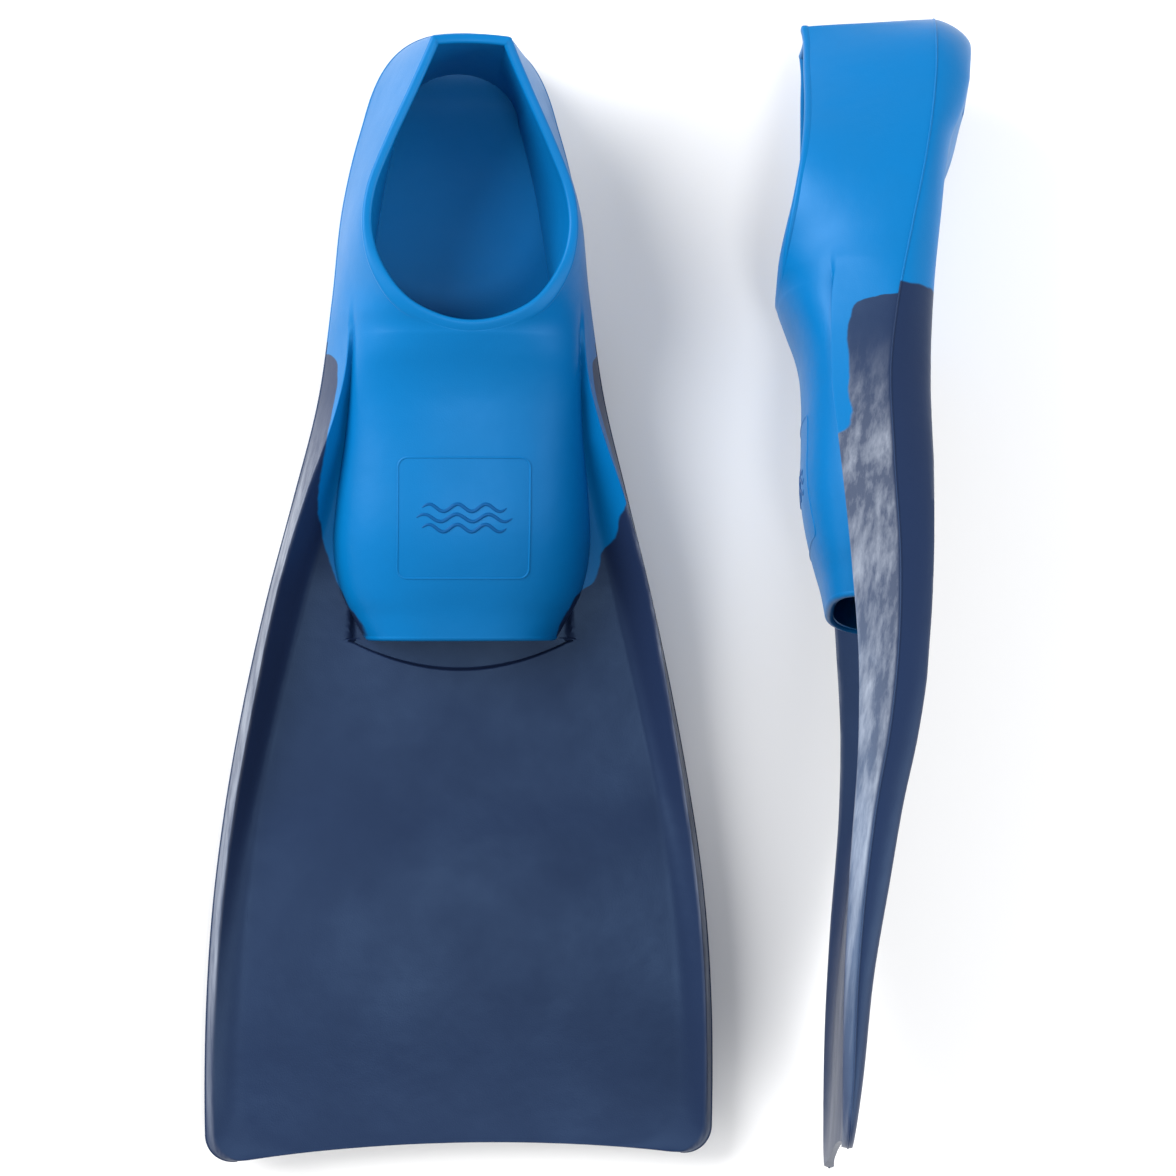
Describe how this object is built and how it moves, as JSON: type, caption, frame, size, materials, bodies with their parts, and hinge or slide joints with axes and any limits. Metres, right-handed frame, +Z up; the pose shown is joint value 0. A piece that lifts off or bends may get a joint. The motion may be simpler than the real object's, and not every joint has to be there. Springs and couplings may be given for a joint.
{
  "type": "pair of swim fins",
  "caption": "Pair of full-foot rubber swim fins: a closed-heel pocket, open at top and toe, in one colour with a flared, railed blade in another; one lies flat and one stands on its edge.",
  "frame": {"origin": "centre of the pair's footprint, at the height of the surface that they stand on", "axes": "+Y towards the heels and along the lying fin, +X towards the standing fin, +Z up"},
  "size_m": [0.3259, 0.4885, 0.2302],
  "materials": {
    "pocket_rubber": "satin moulded rubber",
    "blade_rubber": "satin moulded rubber with a slight bloom"
  },
  "bodies": {
    "fin_a_pocket": {"fin_a_sole": "pocket_rubber", "fin_a_heel_counter": "pocket_rubber", "fin_a_left_quarter": "pocket_rubber", "fin_a_right_quarter": "pocket_rubber", "fin_a_vamp": "pocket_rubber", "fin_a_topline_bead": "pocket_rubber", "fin_a_toe_bead": "pocket_rubber", "fin_a_forefoot_plate": "blade_rubber", "fin_a_left_rail_root": "blade_rubber", "fin_a_right_rail_root": "blade_rubber"},
    "fin_a_blade": {"fin_a_blade_web": "blade_rubber", "fin_a_left_rail": "blade_rubber", "fin_a_right_rail": "blade_rubber"},
    "fin_b_pocket": {"fin_b_sole": "pocket_rubber", "fin_b_heel_counter": "pocket_rubber", "fin_b_left_quarter": "pocket_rubber", "fin_b_right_quarter": "pocket_rubber", "fin_b_vamp": "pocket_rubber", "fin_b_topline_bead": "pocket_rubber", "fin_b_toe_bead": "pocket_rubber", "fin_b_forefoot_plate": "blade_rubber", "fin_b_left_rail_root": "blade_rubber", "fin_b_right_rail_root": "blade_rubber"},
    "fin_b_blade": {"fin_b_blade_web": "blade_rubber", "fin_b_left_rail": "blade_rubber", "fin_b_right_rail": "blade_rubber"}
  },
  "joints": [
    {"name": "fin_a_blade_flex", "type": "hinge", "parent": "fin_a_pocket", "child": "fin_a_blade", "pos_m": [-0.055, -0.05, 0.0135], "axis": [-1, 0, 0], "range_deg": [-20, 35], "stiffness_Nm_per_rad": 14},
    {"name": "fin_b_lift", "type": "slide", "parent": "fin_a_pocket", "child": "fin_b_pocket", "axis": [0, 0, 1], "range_m": [0, 0.25]},
    {"name": "fin_b_blade_flex", "type": "hinge", "parent": "fin_b_pocket", "child": "fin_b_blade", "pos_m": [0.11131, -0.03935, 0.09235], "axis": [0.1512, -0.2107, -0.9658], "range_deg": [-20, 12], "stiffness_Nm_per_rad": 14}
  ]
}
